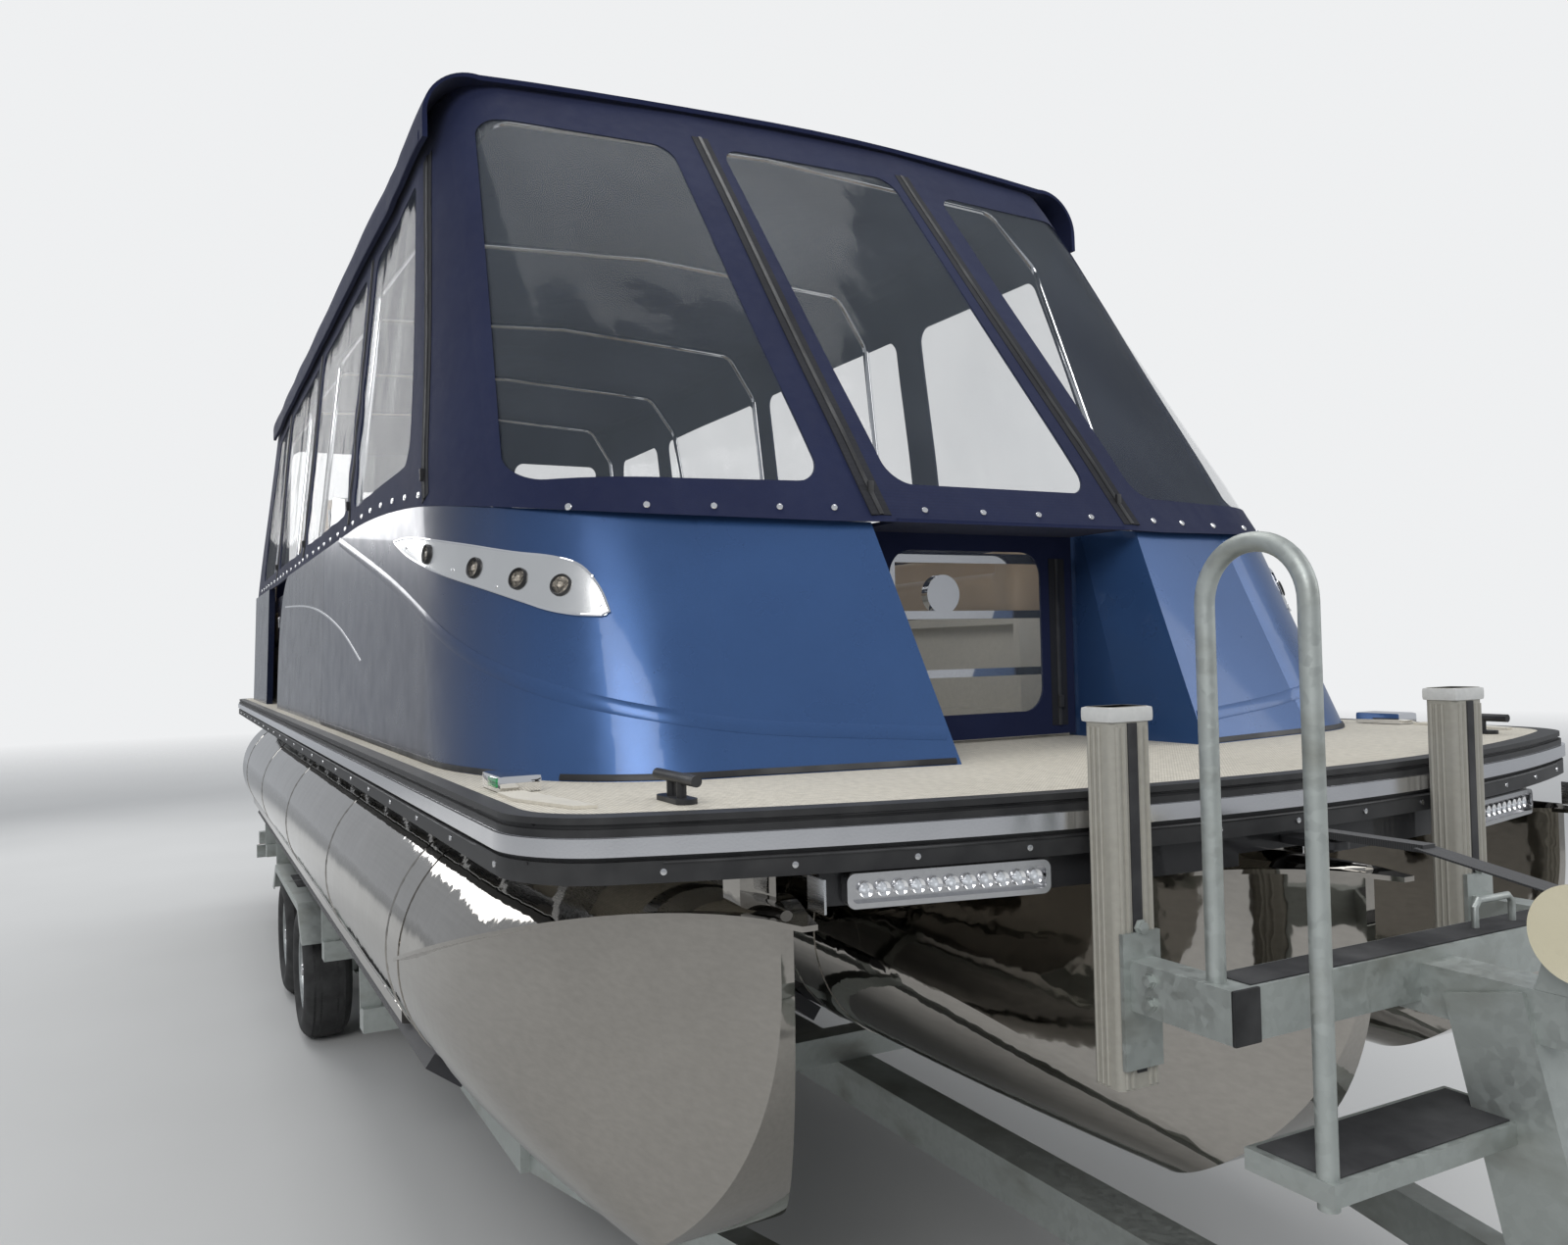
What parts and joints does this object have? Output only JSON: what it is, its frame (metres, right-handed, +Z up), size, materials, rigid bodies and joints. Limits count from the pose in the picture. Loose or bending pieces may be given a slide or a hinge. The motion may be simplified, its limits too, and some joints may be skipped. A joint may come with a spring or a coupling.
{
  "type": "pontoon boat on its trailer",
  "caption": "Three-log pontoon boat with a full canvas enclosure, gates, seats, helm and outboard, standing on its galvanised tandem-axle trailer.",
  "frame": {"origin": "middle of the outfit at ground level", "axes": "+X to the bow, +Y to port, +Z up"},
  "size_m": [10.4799, 2.59, 3.2398],
  "materials": {
    "bright_tube": "polished",
    "bunk_carpet": "matte",
    "canvas_navy": "matte",
    "clear_vinyl": "clear",
    "console_gloss": "gloss",
    "deck_vinyl": "matte",
    "galvanised": "matte",
    "log_aluminium": "polished",
    "motor_black": "satin",
    "motor_gloss": "gloss",
    "panel_blue": "gloss",
    "panel_navy": "gloss",
    "post_plastic": "matte",
    "propeller_steel": "satin",
    "rail_black": "matte",
    "raw_aluminium": "satin",
    "red_lens": "gloss",
    "seat_plastic": "satin",
    "seat_vinyl": "satin",
    "strap_black": "matte",
    "wheel": "matte",
    "winch_cream": "gloss"
  },
  "bodies": {
    "boat": {"axles": "galvanised", "bow_panel_port": "panel_blue", "bow_panel_starboard": "panel_blue", "bow_stop_frame": "galvanised", "bunks": "bunk_carpet", "canopy_frame": "bright_tube", "canopy_roof": "canvas_navy", "chair_pedestal": "bright_tube", "clear_windows": "clear_vinyl", "cleats": "rail_black", "coupling": "galvanised", "curtain_aft": "canvas_navy", "curtain_front": "canvas_navy", "curtain_port": "canvas_navy", "curtain_starboard": "canvas_navy", "cushions_port": "seat_vinyl", "cushions_starboard": "seat_vinyl", "cushions_stern": "seat_vinyl", "deck": "deck_vinyl", "deck_frame": "raw_aluminium", "front_fascia": "raw_aluminium", "guide_posts": "post_plastic", "helm_chair": "seat_vinyl", "helm_console": "console_gloss", "jockey_tube": "galvanised", "light_bars": "rail_black", "log_centre": "log_aluminium", "log_port": "log_aluminium", "log_starboard": "log_aluminium", "motor_bracket": "motor_black", "motor_pod": "raw_aluminium", "mudguards": "galvanised", "rub_rail": "rail_black", "seat_bases": "seat_plastic", "side_panel_port": "panel_navy", "side_panel_starboard": "panel_navy", "stern_fence": "panel_navy", "tail_lights": "red_lens", "trailer_frame": "galvanised", "winch_frame": "galvanised", "winch_strap": "strap_black"},
    "bow_gate": {"bow_gate": "bright_tube"},
    "side_gate_starboard": {"side_gate_starboard": "bright_tube"},
    "side_gate_port": {"side_gate_port": "bright_tube"},
    "stern_gate": {"stern_gate": "bright_tube"},
    "helm_wheel": {"helm_wheel": "rail_black"},
    "motor_swivel": {"motor_swivel": "motor_black"},
    "motor": {"motor_leg": "motor_black", "motor_cowl": "motor_gloss"},
    "propeller": {"propeller": "propeller_steel"},
    "wheel_front_starboard": {"wheel_front_starboard": "wheel"},
    "wheel_front_port": {"wheel_front_port": "wheel"},
    "wheel_rear_starboard": {"wheel_rear_starboard": "wheel"},
    "wheel_rear_port": {"wheel_rear_port": "wheel"},
    "winch_drum": {"winch_drum": "winch_cream"},
    "jockey_leg": {"jockey_leg": "galvanised"},
    "jockey_fork": {"jockey_fork": "galvanised"},
    "jockey_wheel": {"jockey_wheel": "wheel"}
  },
  "joints": [
    {"name": "bow_gate_hinge", "type": "hinge", "parent": "boat", "child": "bow_gate", "pos_m": [2.173, 0.327, 1.44], "axis": [0, 0, -1], "range_deg": [0, 85]},
    {"name": "side_gate_starboard_hinge", "type": "hinge", "parent": "boat", "child": "side_gate_starboard", "pos_m": [-2.035, -1.155, 1.44], "axis": [0, 0, -1], "range_deg": [0, 90]},
    {"name": "side_gate_port_hinge", "type": "hinge", "parent": "boat", "child": "side_gate_port", "pos_m": [-2.035, 1.155, 1.44], "axis": [0, 0, 1], "range_deg": [0, 90]},
    {"name": "stern_gate_hinge", "type": "hinge", "parent": "boat", "child": "stern_gate", "pos_m": [-3.7485, 0.972, 1.44], "axis": [0, 0, 1], "range_deg": [0, 90]},
    {"name": "helm_wheel_turn", "type": "hinge", "parent": "boat", "child": "helm_wheel", "pos_m": [-1.37431, -0.73, 2.26843], "axis": [-0.9063, 0, 0.4226], "range_deg": [-540, 540]},
    {"name": "motor_tilt", "type": "hinge", "parent": "boat", "child": "motor_swivel", "pos_m": [-4.737, 0, 1.32], "axis": [0, 1, 0], "range_deg": [0, 65]},
    {"name": "motor_steer", "type": "hinge", "parent": "motor_swivel", "child": "motor", "pos_m": [-4.827, 0, 1.12], "axis": [0, 0, 1], "range_deg": [-30, 30]},
    {"name": "propeller_spin", "type": "hinge", "parent": "motor", "child": "propeller", "pos_m": [-5.152, 0, 0.44], "axis": [1, 0, 0], "continuous": true},
    {"name": "wheel_front_starboard_roll", "type": "hinge", "parent": "boat", "child": "wheel_front_starboard", "pos_m": [-1.027, -1.125, 0.29], "axis": [0, 1, 0], "continuous": true},
    {"name": "wheel_front_port_roll", "type": "hinge", "parent": "boat", "child": "wheel_front_port", "pos_m": [-1.027, 1.125, 0.29], "axis": [0, 1, 0], "continuous": true},
    {"name": "wheel_rear_starboard_roll", "type": "hinge", "parent": "boat", "child": "wheel_rear_starboard", "pos_m": [-1.807, -1.125, 0.29], "axis": [0, 1, 0], "continuous": true},
    {"name": "wheel_rear_port_roll", "type": "hinge", "parent": "boat", "child": "wheel_rear_port", "pos_m": [-1.807, 1.125, 0.29], "axis": [0, 1, 0], "continuous": true},
    {"name": "winch_drum_turn", "type": "hinge", "parent": "boat", "child": "winch_drum", "pos_m": [3.653, 0, 1.225], "axis": [0, 1, 0], "continuous": true},
    {"name": "jockey_leg_slide", "type": "slide", "parent": "boat", "child": "jockey_leg", "axis": [0, 0, 1], "range_m": [0, 0.15]},
    {"name": "jockey_swivel", "type": "hinge", "parent": "jockey_leg", "child": "jockey_fork", "pos_m": [4.673, -0.19, 0.216], "axis": [0, 0, 1], "continuous": true},
    {"name": "jockey_wheel_roll", "type": "hinge", "parent": "jockey_fork", "child": "jockey_wheel", "pos_m": [4.628, -0.19, 0.1], "axis": [0, 1, 0], "continuous": true}
  ]
}
